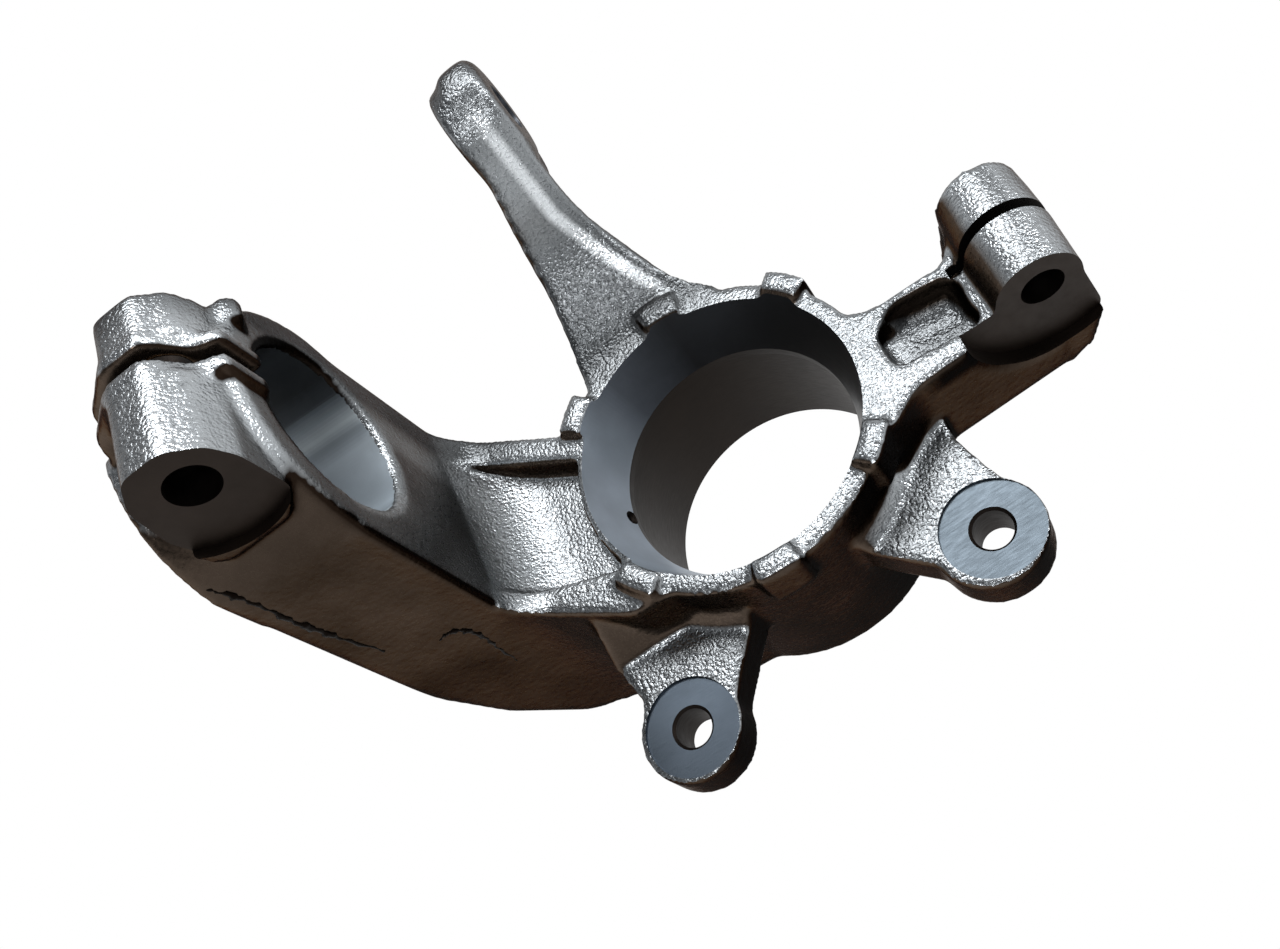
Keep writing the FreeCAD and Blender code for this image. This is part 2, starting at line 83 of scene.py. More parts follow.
EAR_SPAN = 94.9
EAR_SHIFT = 1.85
EAR_OFFSET = 61.9
EAR_FACE = MOUTH - 20.0
EARS = [(side * EAR_SPAN / 2 - EAR_SHIFT, -EAR_OFFSET, EAR_FACE) for side in (-1, 1)]
SPOT_RADIUS = 13.9
CALIPER_HOLE_RADIUS = 5.4
CALIPER_CHAMFER = 0.8

COLUMN_FACE = -75.5
COLUMN_DEPTH = 40.5
STRUT_RADIUS = 26.0
STRUT_OFFSET = 23.5
STRUT_TILT = math.radians(4.0)
STRUT_HEIGHT = MOUTH + 68.2
STRUT_MIDDLE = (COLUMN_FACE - COLUMN_DEPTH / 2, STRUT_OFFSET, STRUT_HEIGHT)
STRUT_SLIT = 4.4
STRUT_NEAR_FACE = STRUT_OFFSET - 32.5
STRUT_FACE_RADIUS = 21.5
STRUT_BOLT = (-90.5, STRUT_NEAR_FACE, STRUT_HEIGHT + 38.9)
STRUT_BOLT_AXIS = Vector((0, -1, 0))
STRUT_BOLT_RADIUS = 6.5

JOINT = (93.5, -4.2, MOUTH)
JOINT_TURN = math.radians(-6.5)
JOINT_BOLT_AXIS = Matrix.Rotation(JOINT_TURN, 3, "Z") @ Vector((0, -1, 0))
JOINT_BOLT_RADIUS = 6.0
JOINT_SLIT = 3.4
JOINT_NEAR_FACE = -19.0
JOINT_FACE_RADIUS = 24.0
STUD_AXIS = Matrix.Rotation(JOINT_TURN, 3, "Z") @ Vector((1, 0, 0))
STUD_RADIUS = 9.0
STUD_DROP = 14.0
STUD_DEPTH = 18.0

EYE = (-5.5, 106.0, MOUTH + 50.0)
EYE_AXIS = (1, 0, 0)
EYE_LENGTH = 18.0
EYE_PLUG_RADIUS = 9.0
# radii of the eye's tapered cutter, one eye length on either side of its middle
EYE_TAPER = (4.75, 8.5)

# how the cast skin is softened: lengths in millimetres, and the number of smoothing passes
VOXEL = 1.16
SOFTENING = 6
CROWN_SOFTENING = 20
CROWN_START = 52
CROWN_BLEND = 14
FACE_ALLOWANCE = 3


# mesh helpers

def new_object(name, mesh):
    piece = bpy.data.objects.new(name, mesh)
    bpy.context.scene.collection.objects.link(piece)
    return piece


def solid(name, mesh):
    """An object made from a finished bmesh."""
    data = bpy.data.meshes.new(name)
    mesh.to_mesh(data)
    mesh.free()
    return new_object(name, data)


@contextmanager
def editing(piece):
    """A piece's mesh, opened for changes and put back when they are done."""
    mesh = bmesh.new()
    mesh.from_mesh(piece.data)
    yield mesh
    mesh.to_mesh(piece.data)
    mesh.free()


def turned(name, profile, place=(0, 0, 0), axis=(0, 0, 1), steps=96):
    """A solid of revolution: the profile's points are (radius, height) along the axis, from end to end."""
    mesh = bmesh.new()
    turn = Vector((0, 0, 1)).rotation_difference(Vector(axis)).to_matrix().to_4x4()
    where = Matrix.Translation(Vector(place) * MM) @ turn
    rings = []
    for radius, height in profile:
        ring = []
        for step in range(steps):
            angle = 2 * math.pi * step / steps
            point = Vector((radius * math.cos(angle), radius * math.sin(angle), height)) * MM
            ring.append(mesh.verts.new(where @ point))
        rings.append(ring)
    for lower, upper in zip(rings, rings[1:]):
        for step in range(steps):
            after = (step + 1) % steps
            mesh.faces.new((lower[step], lower[after], upper[after], upper[step]))
    mesh.faces.new(list(reversed(rings[0])))
    mesh.faces.new(rings[-1])
    bmesh.ops.recalc_face_normals(mesh, faces=mesh.faces)
    return solid(name, mesh)


def straight(radius, start, end):
    """The profile of a plain round bar."""
    return [(radius, start), (radius, end)]


def box(name, lowest, highest, place=(0, 0, 0), turn=0.0):
    """A block between two corners, turned about +Z and then put at its place."""
    mesh = bmesh.new()
    bmesh.ops.create_cube(mesh, size=1.0)
    low, high = Vector(lowest), Vector(highest)
    where = Matrix.Translation(Vector(place) * MM) @ Matrix.Rotation(turn, 4, "Z")
    for vertex in mesh.verts:
        point = Vector([low[i] + (vertex.co[i] + 0.5) * (high[i] - low[i]) for i in range(3)]) * MM
        vertex.co = where @ point
    return solid(name, mesh)


def hull(name, points):
    """The tightest convex solid around a few points."""
    mesh = bmesh.new()
    for point in points:
        mesh.verts.new(Vector(point) * MM)
    made = bmesh.ops.convex_hull(mesh, input=list(mesh.verts))
    spare = made["geom_interior"] + made["geom_unused"]
    inner = {item for item in spare if isinstance(item, bmesh.types.BMVert)}
    bmesh.ops.delete(mesh, geom=[vertex for vertex in inner if vertex.is_valid], context="VERTS")
    bmesh.ops.recalc_face_normals(mesh, faces=mesh.faces)
    return solid(name, mesh)


def apply_modifiers(piece):
    """Turn what a piece's modifiers make of it into its own mesh."""
    graph = bpy.context.evaluated_depsgraph_get()
    done = bpy.data.meshes.new_from_object(piece.evaluated_get(graph), depsgraph=graph)
    piece.modifiers.clear()
    old = piece.data
    piece.data = done
    bpy.data.meshes.remove(old)


def combine(piece, tools, operation):
    """Join the tools to a piece, or cut them out of it, and remove them."""
    for tool in tools:
        change = piece.modifiers.new("change", "BOOLEAN")
        change.operation = operation
        change.solver = "EXACT"
        change.object = tool
        change.material_mode = "TRANSFER"
        apply_modifiers(piece)
        bpy.data.objects.remove(tool)


def fill(piece, solids):
    """Put overlapping solids into a piece's mesh; the grid that comes next fuses them."""
    with editing(piece) as mesh:
        for filler in solids:
            mesh.from_mesh(filler.data)
            bpy.data.objects.remove(filler)


def smooth(piece, passes, group=""):
    """Let each vertex drift towards its neighbours, all over or by a vertex group's weights."""
    change = piece.modifiers.new("smooth", "SMOOTH")
    change.factor = 0.5
    change.iterations = passes
    change.vertex_group = group
    apply_modifiers(piece)


# materials

class Finish:
    """A material in the making, with the steps that work out its colour, gloss and grain."""

    def __init__(self, name):
        self.material = bpy.data.materials.new(name)
        self.material.use_nodes = True
        self.tree = self.material.node_tree
        self.shader = self.tree.nodes["Principled BSDF"]

    def feed(self, socket, value):
        """Give a socket a fixed value, or link another node's output to it."""
        if isinstance(value, bpy.types.NodeSocket):
            self.tree.links.new(value, socket)
        else:
            socket.default_value = value

    def node(self, kind, inputs=None, **settings):
        """The outputs of a new node, whose inputs are fed by name or number."""
        made = self.tree.nodes.new("ShaderNode" + kind)
        for name, value in settings.items():
            setattr(made, name, value)
        for name, value in (inputs or {}).items():
            self.feed(made.inputs[name], value)
        return made.outputs

    def maths(self, operation, *values, **settings):
        return self.node("Math", dict(enumerate(values)), operation=operation, **settings)[0]

    def noise(self, place, scale, detail):
        return self.node("TexNoise", {"Vector": place, "Scale": scale, "Detail": detail})["Fac"]

    def mixed(self, factor, first, second, **settings):
        inputs = {"Factor": factor, "A": first, "B": second}
        return self.node("Mix", inputs, data_type="RGBA", **settings)["Result"]

    def multiplied(self, first, second):
        return self.mixed(1.0, first, second, blend_type="MULTIPLY")

    def graded(self, value, stops):
        """Turn a value into greys or colours, by stops of (position, grey or colour)."""
        made = self.tree.nodes.new("ShaderNodeValToRGB")
        self.feed(made.inputs["Fac"], value)
        elements = made.color_ramp.elements
        while len(elements) < len(stops):
            elements.new(0.5)
        for element, (position, colour) in zip(elements, stops):
            element.position = position
            element.color = (colour,) * 3 + (1,) if isinstance(colour, float) else (*colour, 1)
        return made.outputs["Color"]

    def by_place(self, coordinate, low, high, stops):
        """Greys along one coordinate, by stops of (place, grey) between a low and a high place."""
        span = high - low
        share = self.maths("MULTIPLY_ADD", coordinate, 1 / (span * MM), -low / span)
        return self.graded(share, [((place - low) / span, grey) for place, grey in stops])

    def done(self, inputs):
        """Feed the shader's own sockets and hand over the material."""
        for name, value in inputs.items():
            self.feed(self.shader.inputs[name], value)
        return self.material


# a painted highlight on the ridge along the steering arm: its upper stretch keeps to one x, and below the
# bend it leans out
RIDGE_X = -4.0
RIDGE_BEND = 78.5
RIDGE_SLOPE = 0.5
RIDGE_HIGHLIGHT_COLOUR = (0.80, 0.84, 0.87, 1)

# painted light: the steering arm's side of the part is painted lighter from this y on, by so much for each
# metre
LIGHT_START = 30
LIGHT_GAIN = 12.0


def ridge(finish, x, y):
    """A soft band of painted highlight on the ridge, from 0 beside it to 1 on it."""
    lean = finish.maths("MULTIPLY_ADD", y, -RIDGE_SLOPE, RIDGE_SLOPE * RIDGE_BEND * MM)
    from_line = finish.maths("SUBTRACT", x, finish.maths("MAXIMUM", lean, 0.0))
    aside = finish.maths("ADD", from_line, -RIDGE_X * MM)
    across = finish.by_place(aside, -10, 10, [(-2.8, 0.0), (-0.8, 1.0), (1.0, 1.0), (2.8, 0.0)])
    along = finish.by_place(y, 0, 200, [(50, 0.0), (62, 1.0), (90, 1.0), (98, 0.0)])
    return finish.maths("MULTIPLY", across, along)


def painted_light_by_place(finish, x, y, z, facing_up):
    """Painted shade that darkens the steering arm, the pocket floor and flat tops, and painted light that
    lightens the strut clamp.
    """
    arm = finish.by_place(y, 0, 200, [(34, 1.0), (47, 0.34), (66, 0.45), (86, 0.85), (100, 0.6)])
    in_pocket = finish.by_place(x, 0, 200, [(52, 0.0), (58, 1.0)])
    at_floor = finish.by_place(z, 0, 100, [(36, 0.0), (39, 1.0), (43.2, 1.0), (44.5, 0.0)])
    pocket = finish.maths("MULTIPLY_ADD", finish.maths("MULTIPLY", in_pocket, at_floor), -0.82, 1.0)
    at_clamp = finish.by_place(z, 0, 200, [(124, 0.0), (144, 1.0)])
    clamp = finish.maths("MULTIPLY_ADD", at_clamp, 0.2, 1.0)
    flat = finish.graded(facing_up, [(0.88, 1.0), (0.99, 0.6)])
    tone = finish.maths("MULTIPLY", arm, finish.maths("MULTIPLY", pocket, clamp))
    return finish.maths("MULTIPLY", tone, flat)


def cast_iron():
    """Shot-blasted cast skin: fine grains that glint on top, painted light on top, and smooth dark brown
    flanks in painted shade.
    """
    finish = Finish("cast_iron")
    coordinates = finish.node("TexCoord")
    place, normal = coordinates["Object"], coordinates["Normal"]
    x, y, z = finish.node("SeparateXYZ", {0: place})
    facing = finish.node("SeparateXYZ", {0: normal})
    grain = finish.noise(place, scale=1150, detail=1.0)
    lumps = finish.noise(place, scale=420, detail=1.0)
    patches = finish.noise(place, scale=35, detail=4.0)

    # how much painted light a surface gets, by the way it faces and by its place
    tilt = finish.node("VectorMath", {0: normal, 1: (0.5, 0.5, 1.0)}, operation="DOT_PRODUCT")["Value"]
    gain = finish.maths("MULTIPLY_ADD", y, LIGHT_GAIN, -LIGHT_GAIN * LIGHT_START * MM)
    lit = finish.maths("ADD", tilt, finish.maths("MAXIMUM", gain, 0.0))

    # painted light and shade: grey where the surface counts as lit, dark brown painted shade on the flanks,
    # near-black deeper painted shade on flanks that face +X
    painted_lit_grey = finish.graded(patches, [(0.3, (0.29, 0.31, 0.325)), (0.7, (0.42, 0.445, 0.465))])
    brown = finish.graded(patches, [(0.3, (0.060, 0.045, 0.034)), (0.7, (0.110, 0.083, 0.065))])
    painted_deep_shade = finish.graded(patches, [(0.3, (0.010, 0.006, 0.004)), (0.7, (0.020, 0.013, 0.009))])
    rightward = finish.maths("MULTIPLY_ADD", facing["X"], 0.5, 0.5)
    flank = finish.mixed(finish.graded(rightward, [(0.3, 0.0), (0.75, 1.0)]), brown, painted_deep_shade)
    skin = finish.mixed(finish.graded(lit, [(0.38, 0.0), (0.62, 1.0)]), flank, painted_lit_grey)

    # painted light and shade by place and by flatness
    with_painted_light = finish.multiplied(skin, painted_light_by_place(finish, x, y, z, facing["Z"]))
    # painted highlight along the steering arm's ridge
    ridge_highlighted = finish.mixed(ridge(finish, x, y), with_painted_light, RIDGE_HIGHLIGHT_COLOUR)
    # painted shade in creases and hollows, where the mesh is least pointy
    pointiness = finish.node("NewGeometry")["Pointiness"]
    colour = finish.multiplied(ridge_highlighted, finish.graded(pointiness, [(0.43, 0.25), (0.485, 1.0)]))

    strength = finish.graded(lit, [(0.35, 0.1), (0.75, 0.65)])
    fine = {"Height": grain, "Strength": strength, "Distance": 0.5 * MM}
    coarse = {"Height": lumps, "Strength": 0.2, "Distance": 0.8 * MM}
    coarse["Normal"] = finish.node("Bump", fine)["Normal"]
    return finish.done({
        "Base Color": colour,
        "Metallic": 0.95,
        "Specular Tint": (0.2, 0.15, 0.12, 1),
        "Roughness": finish.graded(grain, [(0.3, 0.24), (0.75, 0.40)]),
        "Normal": finish.node("Bump", coarse)["Normal"],
    })


def machined(name, tones, axis, roughness, lines, metallic=1.0):
    """Turned or milled iron with fine tool lines; its tones go by how far it faces along one axis, which
    paints light and shade where they differ.
    """
    finish = Finish(name)
    coordinates = finish.node("TexCoord")
    facing = finish.node("SeparateXYZ", {0: coordinates["Normal"]})[axis]
    tone = finish.graded(finish.maths("MULTIPLY_ADD", facing, 0.5, 0.5), tones)
    clouds = finish.noise(coordinates["Object"], scale=60, detail=5)
    stretched = finish.node("Mapping", {"Vector": coordinates["Object"], "Scale": lines})["Vector"]
    marks = finish.noise(stretched, scale=300, detail=4)
    bump = {"Height": marks, "Strength": 0.12, "Distance": 0.2 * MM}
    return finish.done({
        "Base Color": finish.multiplied(tone, finish.graded(clouds, [(0.3, 0.78), (0.7, 1.0)])),
        "Metallic": metallic,
        "Roughness": finish.graded(marks, [(0.3, roughness), (0.75, roughness + 0.12)]),
        "Normal": finish.node("Bump", bump)["Normal"],
    })


def even(colour):
    """The same tone, whichever way the surface faces."""
    return [(0.0, colour), (1.0, colour)]


# painted light and shade on turned faces: near-black where they face -X, pale blue-grey where they face +X
CONE_LIGHT_AND_SHADE = [
    (0.0, (0.022, 0.021, 0.021)),
    (0.45, (0.030, 0.031, 0.034)),
    (0.72, (0.14, 0.16, 0.19)),
    (0.88, (0.42, 0.49, 0.57)),
    (1.0, (0.60, 0.68, 0.78)),
]
# painted light and shade in the strut bore: near-black where its wall faces down or sideways, with painted
# highlight bands where it faces up
BORE_LIGHT_AND_SHADE = [
    (0.0, (0.02, 0.02, 0.022)),
    (0.62, (0.024, 0.026, 0.028)),
    (0.73, (0.07, 0.08, 0.09)),
    (0.8, (0.40, 0.46, 0.51)),
    (0.86, (0.85, 0.95, 1.0)),
    (0.9, (0.45, 0.52, 0.58)),
    (0.95, (0.70, 0.80, 0.88)),
    (1.0, (0.50, 0.58, 0.65)),
]

CAST = cast_iron()
# turned faces, with painted light and shade in their tones
TURNED = machined("turned_iron", CONE_LIGHT_AND_SHADE, "X", 0.32, (1, 1, 12), 0.6)
# the bearing seat and lip, painted near-black brown as painted shade
SEAT_PAINTED_SHADE = machined("seat_iron_painted_shade", even((0.0125, 0.0085, 0.006)), "X", 0.4, (1, 1, 12))
# the strut bore's tool lines and gloss, with painted light and shade in its tones
STRUT_FINISH = machined("bored_iron", BORE_LIGHT_AND_SHADE, "Z", 0.32, (14, 1, 1), 0.6)
MILLED = machined("milled_iron", even((0.085, 0.104, 0.122)), "X", 0.36, (1, 6, 1))
# a copy of the milled finish, darker as painted shade
MILLED_PAINTED_SHADE = machined("milled_iron_painted_shade", even((0.075, 0.093, 0.115)), "X", 0.36, (1, 6, 1))
# the pinch bolts' machined faces, painted near-black brown as painted shade
MILLED_DEEP_PAINTED_SHADE = machined("milled_iron_deep_painted_shade", even((0.024, 0.017, 0.013)), "X", 0.42, (1, 6, 1), 0.9)
# near-black flash lines, as painted shadow
FLASH_PAINTED_SHADOW = machined("flash_line_painted_shadow", even((0.006, 0.004, 0.003)), "X", 0.5, (1, 1, 1))
# holes and slits, painted near-black as painted shade
DRILLED_PAINTED_SHADE = machined("drilled_iron_painted_shade", even((0.02, 0.016, 0.014)), "X", 0.5, (1, 1, 6))


# machined faces, as solids to cut away

def finished(tool, finish):
    """Give a cutter the finish of the face that it leaves."""
    tool.data.materials.append(finish)
    return tool


def bearing_bore():
    """The seat, the lip's own bore, the coned mouth, and the relief hole with its countersink."""
    half = SEAT_LENGTH / 2
    lip_top = half + LIP_THICKNESS
    slope = (MOUTH_RADIUS - LIP_RADIUS) / MOUTH_DEPTH
    overrun = 10.0
    seat = [
        (SEAT_RADIUS + SEAT_CHAMFER, -half - overrun),
        (SEAT_RADIUS + SEAT_CHAMFER, -half),
        (SEAT_RADIUS, -half + SEAT_CHAMFER),
        (SEAT_RADIUS, half),
    ]
    lip = straight(LIP_RADIUS, half - 1, lip_top)
    mouth = [(LIP_RADIUS, lip_top - 0.01), (MOUTH_RADIUS + slope * overrun, MOUTH + overrun)]
    outward = (math.cos(RELIEF_ANGLE), math.sin(RELIEF_ANGLE), 0)
    relief_place = Vector(outward) * LIP_RADIUS + Vector((0, 0, RELIEF_HEIGHT))
    relief = straight(RELIEF_RADIUS + RELIEF_SINK, -4, 0.6) + straight(RELIEF_RADIUS, 1.4, 9)
    return [
        finished(turned("bearing_seat", seat, steps=192), SEAT_PAINTED_SHADE),
        finished(turned("bearing_lip", lip, steps=192), SEAT_PAINTED_SHADE),
        finished(turned("bearing_mouth", mouth, steps=192), TURNED),
        finished(turned("relief_hole", relief, relief_place, outward, 48), DRILLED_PAINTED_SHADE),
    ]


def caliper_cuts():
    """Each ear's spot face and its chamfered bolt hole."""
    cuts = []
    hole = [
        (CALIPER_HOLE_RADIUS, -40),
        (CALIPER_HOLE_RADIUS, -CALIPER_CHAMFER),
        (CALIPER_HOLE_RADIUS + CALIPER_CHAMFER, 0.01),
        (CALIPER_HOLE_RADIUS + CALIPER_CHAMFER, 5),
    ]
    # the first ear's spot face gets the milled finish in painted shade
    for ear, face_finish in zip(EARS, (MILLED_PAINTED_SHADE, MILLED)):
        cuts.append(finished(turned("spot", straight(SPOT_RADIUS, 0, 30), ear), face_finish))
        cuts.append(finished(turned("caliper_hole", hole, ear, steps=64), DRILLED_PAINTED_SHADE))
    return cuts


def strut_cuts():
    """The strut's tilted bore, the slit above it, and the pinch bolt's face and hole."""
    axis = (math.cos(STRUT_TILT), 0, -math.sin(STRUT_TILT))
    # every cutter runs well past the iron
    reach, above, behind, before = 60, 100, 100, 40
    bore = turned("strut_bore", straight(STRUT_RADIUS, -reach, reach), STRUT_MIDDLE, axis, 160)
    half = STRUT_SLIT / 2
    slit = box("strut_slit", (-reach, -half, 0), (reach, half, above), STRUT_MIDDLE)
    face = turned("strut_face", straight(STRUT_FACE_RADIUS, 0, reach), STRUT_BOLT, STRUT_BOLT_AXIS, 128)
    bolt = straight(STRUT_BOLT_RADIUS, -behind, before)
    hole = turned("strut_bolt_hole", bolt, STRUT_BOLT, STRUT_BOLT_AXIS, 64)
    return [
        finished(bore, STRUT_FINISH),
        finished(slit, DRILLED_PAINTED_SHADE),
        finished(face, MILLED_DEEP_PAINTED_SHADE),
        finished(hole, DRILLED_PAINTED_SHADE),
    ]


def joint_cuts():
    """The pinch bolt's face and hole across the ball-joint clamp, the stud's blind hole and the slit."""
    centre = Vector(JOINT)
    # every cutter runs well past the iron, but for the blind end of the stud's hole and the slit
    bolt_reach, before, slit_end, above = 50, 20, 40, 30
    face_place = centre - JOINT_BOLT_AXIS * JOINT_NEAR_FACE
    face = turned("joint_face", straight(JOINT_FACE_RADIUS, 0, before), face_place, JOINT_BOLT_AXIS, 128)
    bolt = straight(JOINT_BOLT_RADIUS, -bolt_reach, bolt_reach)
    hole = turned("joint_bolt_hole", bolt, centre, JOINT_BOLT_AXIS, 64)
    stud_place = centre - Vector((0, 0, STUD_DROP))
    stud = turned("stud_hole", straight(STUD_RADIUS, -STUD_DEPTH, before), stud_place, STUD_AXIS, 96)
    half = JOINT_SLIT / 2
    slit = box("joint_slit", (-STUD_DEPTH, -half, -STUD_DROP), (slit_end, half, above), JOINT, JOINT_TURN)
    return [
        finished(face, MILLED_DEEP_PAINTED_SHADE),
        finished(hole, DRILLED_PAINTED_SHADE),
        finished(stud, TURNED),
        finished(slit, DRILLED_PAINTED_SHADE),
    ]


def eye_cut():
    """The tapered hole for the tie rod's stud."""
    small, large = EYE_TAPER
    profile = [(small, -EYE_LENGTH), (large, EYE_LENGTH)]
    return finished(turned("tie_rod_taper", profile, EYE, EYE_AXIS, 64), TURNED)


# the casting

def plugs():
    """Solids that fill the holes of the model, and the shallow step at the foot of its column.

    The cast skin can then be softened on its own.
    """
    margin = 2
    bearing = [(SEAT_RADIUS + margin, -SEAT_LENGTH / 2), (MOUTH_RADIUS + margin, MOUTH)]
    eye = straight(EYE_PLUG_RADIUS, -EYE_LENGTH / 2, EYE_LENGTH / 2)
    spot = [(8, -12.5), (SPOT_RADIUS + 0.5, -1), (SPOT_RADIUS + 0.5, 0.9)]
    return [
        turned("plug", bearing),
        turned("plug", eye, EYE, EYE_AXIS, 48),
        box("plug", (-80, -7, MOUTH + 8.5), (COLUMN_FACE, 48, MOUTH + 32)),
        *[turned("plug", spot, ear, steps=64) for ear in EARS],
    ]


# both edges of the steering arm's front face, as (left x, right x, y, height over the mouth)
ARM_EDGES = [
    (-12.8, 3.4, 91.4, 56.2),
    (-14.2, 2.5, 85.8, 45.0),
    (-17.0, 2.6, 80.5, 33.9),
    (-19.2, 3.7, 75.2, 23.8),
    (-20.5, 6.4, 69.6, 16.2),
    (-21.6, 9.8, 62.0, 9.4),
    (-22.3, 11.8, 57.0, 5.5),
]

# where that face's filler strip starts and ends behind it, as (y, height)
ARM_STRIP = [(0.2, -0.1), (5.2, -3.1)]

# corners of the web that carries the eye on the steering arm's crown
EYE_WEB = [
    (3.2, 91, MOUTH + 50),
    (3.2, 93, MOUTH + 40),
    (3.2, 104, MOUTH + 35),
    (-3, 80.5, MOUTH + 33),
    (-3, 88, MOUTH + 26),
    (-6, 92, MOUTH + 50),
    (-6, 100, MOUTH + 36),
    (-6, 84, MOUTH + 34),
]


def fillers():
    """Solids that widen the steering arm, blend the eye into it and close the ball-joint clamp's slit."""
    arm = []
    for near, far in zip(ARM_EDGES, ARM_EDGES[1:]):
        corners = []
        for left, right, y, height in (near, far):
            for x in (left, right):
                corners += [(x, y + back, MOUTH + height + drop) for back, drop in ARM_STRIP]
        arm.append(hull("filler", corners))
    half = JOINT_SLIT / 2 + 0.2
    barrel_radius = 12.5
    barrel = Vector(JOINT) - STUD_AXIS * 0.9
    return [
        hull("filler", EYE_WEB),
        *arm,
        turned("filler", straight(barrel_radius, -half, half), barrel, JOINT_BOLT_AXIS, 96),
        box("filler", (-12, -half, -STUD_DROP - 0.4), (12, half, -0.3), JOINT, JOINT_TURN),
    ]


def trough():
    """The smooth hollow between the lower arm's ribs, wider and rounder than the model's pocket."""
    radius = 9.5
    start = (60.5, -8.5, MOUTH + 1.8)
    axis = (0.985, -0.17, 0)
    profile = []
    for step in range(7):
        angle = math.radians(15 * step)
        profile.append((max(radius * math.sin(angle), 0.01), -radius * math.cos(angle)))
    profile += [(radius, 12), (radius - 3, 15)]
    return turned("trough", profile, start, axis, 48)


def raise_faces(piece, direction, level, centre, reach):
    """Push out the flat faces that look one way, so that softening leaves enough to machine flat again."""
    with editing(piece) as mesh:
        chosen = []
        for face in mesh.faces:
            middle = face.calc_center_median()
            flat = face.normal.dot(direction) > 0.999 and abs(middle.dot(direction) - level * MM) < 0.1 * MM
            if flat and (middle - Vector(centre) * MM).length < reach * MM:
                chosen.append(face)
        grown = bmesh.ops.extrude_face_region(mesh, geom=chosen)
        bmesh.ops.delete(mesh, geom=chosen, context="FACES")
        moved = [item for item in grown["geom"] if isinstance(item, bmesh.types.BMVert)]
        bmesh.ops.translate(mesh, verts=moved, vec=direction * FACE_ALLOWANCE * MM)


def soften(piece):
    """Even out a piece's mesh and round its edges as on a casting, most of all on the steering arm."""
    grid = piece.modifiers.new("grid", "REMESH")
    grid.mode = "VOXEL"
    grid.voxel_size = VOXEL * MM
    apply_modifiers(piece)
    smooth(piece, SOFTENING)
    crown = piece.vertex_groups.new(name="crown")
    for vertex in piece.data.vertices:
        weight = min(max((vertex.co.y / MM - CROWN_START) / CROWN_BLEND, 0), 1)
        if weight:
            crown.add([vertex.index], weight, "REPLACE")
    smooth(piece, CROWN_SOFTENING, crown.name)
    piece.vertex_groups.clear()


def mark_sharp_edges(piece, limit=math.radians(38), machined_limit=math.radians(12)):
    """Shade smooth, except across corners and where one finish meets another."""
    with editing(piece) as mesh:
        for edge in mesh.edges:
            faces = edge.link_faces
            if len(faces) == 2:
                between = faces[0].material_index != faces[1].material_index
                most = machined_limit if faces[0].material_index else limit
                edge.smooth = not between and edge.calc_face_angle(0) < most
        for face in mesh.faces:
            face.smooth = True


# casting marks on the flank of the strut arm, raised lines coloured near-black as painted shadow, as (x, y,
# height over the mouth, half width)
FLASH = [
    (-113.4, -10.2, 80.6, 0.45),
    (-110.6, -12.0, 74.9, 0.90),
    (-109.6, -12.7, 66.3, 0.45),
    (-109.8, -12.7, 55.9, 0.83),
    (-109.0, -12.7, 46.0, 1.05),
    (-108.2, -12.7, 36.6, 0.52),
    (-106.0, -12.7, 22.0, 0.38),
]
ARCH = [
    (-94.9, -12.7, 12.0, 0.22),
    (-92.6, -12.7, 12.6, 0.60),
    (-89.6, -12.7, 11.2, 0.90),
    (-87.6, -12.7, 6.5, 0.75),
    (-87.4, -12.7, -1.0, 0.52),
    (-88.4, -12.7, -9.0, 0.38),
    (-88.9, -12.7, -20.0, 0.22),
]


def wave(height, rate, place):
    return height * math.sin(rate * place)


def bead(mesh, points, finish, steps=10, sides=8):
    """A thin raised line of iron, uneven in width, on a path that lies on a face looking to -Y."""
    path = [Vector(point[:3]) for point in points]
    path = [path[0]] + path + [path[-1]]
    widths = [points[0][3]] + [point[3] for point in points] + [points[-1][3]]
    inward = Vector((0, 1, 0))
    flatness = 0.6
    rings = []
    for number in range(1, len(path) - 2):
        before, start, end, after = path[number - 1:number + 3]
        square = 2 * before - 5 * start + 4 * end - after
        cube = 3 * start - before - 3 * end + after
        side = (end - start).normalized().cross(inward).normalized()
        for step in range(steps):
            t = step / steps
            place = number + t
            middle = start + 0.5 * ((end - before) * t + (square * t * t + cube * t ** 3))
            middle = middle + Vector((wave(0.25, 11.7, place), 0, MOUTH))
            ripple = 1 + wave(0.35, 7.3, place) + wave(0.25, 23.1, place)
            width = (widths[number] * (1 - t) + widths[number + 1] * t) * ripple
            ring = []
            for corner in range(sides):
                angle = 2 * math.pi * corner / sides
                offset = side * math.cos(angle) * width + inward * math.sin(angle) * width * flatness
                ring.append(mesh.verts.new((middle + offset) * MM))
            rings.append(ring)
    for first, last in zip(rings, rings[1:]):
        for corner in range(sides):
            after = (corner + 1) % sides
            face = mesh.faces.new((first[corner], first[after], last[after], last[corner]))
            face.material_index = finish
            face.smooth = True


def knuckle():
    piece = new_object("knuckle", frame["nodes"][NODE].data.copy())
    raise_faces(piece, STRUT_BOLT_AXIS, -STRUT_NEAR_FACE, STRUT_BOLT, reach=24)
    joint_level = JOINT_BOLT_AXIS.dot(Vector(JOINT)) - JOINT_NEAR_FACE
    raise_faces(piece, JOINT_BOLT_AXIS, joint_level, JOINT, reach=40)
    combine(piece, plugs(), "UNION")
    combine(piece, [trough()], "DIFFERENCE")
    fill(piece, fillers())
    soften(piece)
    piece.data.materials.clear()
    piece.data.materials.append(CAST)
    cuts = [*bearing_bore(), *caliper_cuts(), *strut_cuts(), *joint_cuts(), eye_cut()]
    combine(piece, cuts, "DIFFERENCE")
    mark_sharp_edges(piece)
    # the flash lines take a near-black material, as painted shadow
    shadow_line_slot = len(piece.data.materials)
    piece.data.materials.append(FLASH_PAINTED_SHADOW)
    with editing(piece) as mesh:
        for line in (FLASH, ARCH):
            bead(mesh, line, shadow_line_slot)
    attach(piece, "root")
    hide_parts(NODE)


knuckle()


# floor, lights and camera, in metres

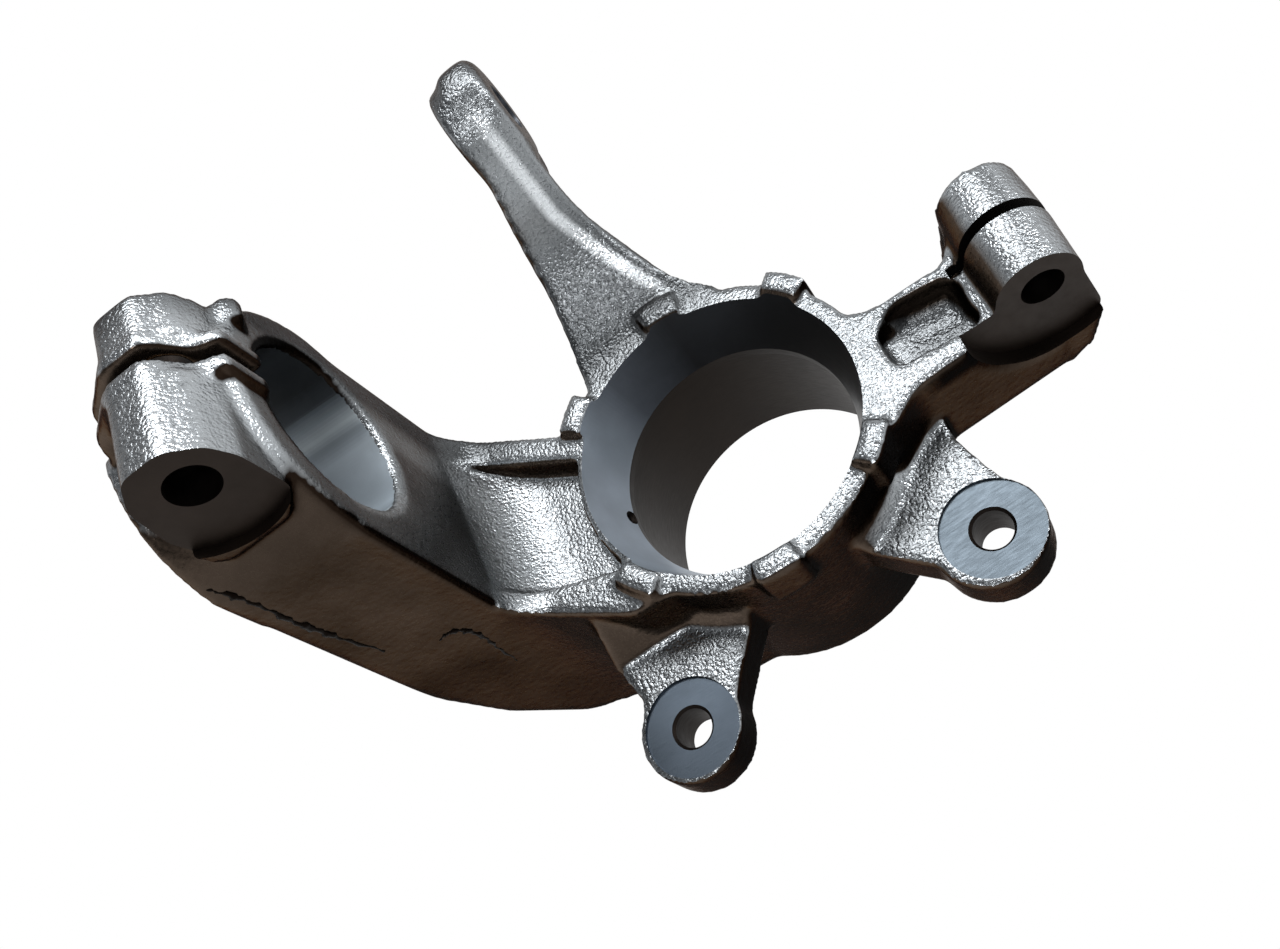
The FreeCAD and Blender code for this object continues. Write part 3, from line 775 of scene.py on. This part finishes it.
def floor():
    """A pale floor with a round wall far off, which the camera and the part's gloss see as plain white."""
    lowest = cad_box[0].z
    reach, top, steps = 60.0, 26.0, 64
    turns = [2 * math.pi * step / steps for step in range(steps)]
    corners = [(reach * math.cos(turn), reach * math.sin(turn), lowest) for turn in turns]
    corners += [(x, y, top) for x, y, _ in corners]
    walls = [(step, steps + step, steps + (step + 1) % steps, (step + 1) % steps) for step in range(steps)]
    mesh = bpy.data.meshes.new("floor")
    mesh.from_pydata(corners, [], [tuple(range(steps)), *walls])
    finish = Finish("floor")
    rays = finish.node("LightPath")
    seen = rays["Is Camera Ray"]
    for other in ("Is Glossy Ray", "Is Transmission Ray"):
        seen = finish.maths("ADD", seen, rays[other], use_clamp=True)
    white = finish.node("Emission")[0]
    blend = finish.node("MixShader", {0: seen, 1: finish.shader.outputs[0], 2: white})[0]
    finish.feed(finish.tree.nodes["Material Output"].inputs["Surface"], blend)
    mesh.materials.append(finish.done({"Base Color": (0.8, 0.8, 0.8, 1), "Roughness": 0.9}))
    new_object("floor", mesh)


def world():
    """A dim cool light from all around."""
    made = bpy.data.worlds.new("studio")
    made.use_nodes = True
    background = made.node_tree.nodes["Background"]
    background.inputs["Color"].default_value = (0.95, 0.96, 1.0, 1)
    background.inputs["Strength"].default_value = 0.15
    bpy.context.scene.world = made


def lamp(name, place, size, power, target=(0, 0, 0.02)):
    """A soft rectangular lamp that shines at the middle of the part."""
    data = bpy.data.lights.new(name, "AREA")
    data.shape = "RECTANGLE"
    data.size, data.size_y = size
    data.energy = power
    piece = new_object(name, data)
    piece.location = Vector(place)
    piece.rotation_euler = (Vector(target) - Vector(place)).to_track_quat("-Z", "Y").to_euler()


IMAGE_WIDTH = 1280
FOCAL_LENGTH = 1185.5
SENSOR_WIDTH = 36


def camera():
    """The photograph's view, from its fitted place, directions and focal length in pixels."""
    right = Vector((0.802, -0.384, -0.457))
    down = Vector((-0.573, -0.712, -0.406))
    right.normalize()
    forward = right.cross(down).normalized()
    down = forward.cross(right)
    place = Vector((0.0326, -0.1959, 0.2675 + MOUTH * MM))
    turn = Matrix((right, -down, -forward)).transposed().to_4x4()
    data = bpy.data.cameras.new("camera")
    data.sensor_width = SENSOR_WIDTH
    data.lens = SENSOR_WIDTH * FOCAL_LENGTH / IMAGE_WIDTH
    data.clip_start = 0.01
    piece = new_object("camera", data)
    piece.matrix_world = Matrix.Translation(place) @ turn
    bpy.context.scene.camera = piece


floor()
world()
lamp("key", (0.12, 0.66, 1.15), size=(0.8, 0.55), power=15.5)
lamp("top", (-0.15, -0.7, 1.2), size=(0.35, 0.25), power=5)
lamp("right", (1.05, 0.15, 1.05), size=(0.3, 0.5), power=10)
camera()

bpy.context.scene.view_settings.view_transform = "Standard"
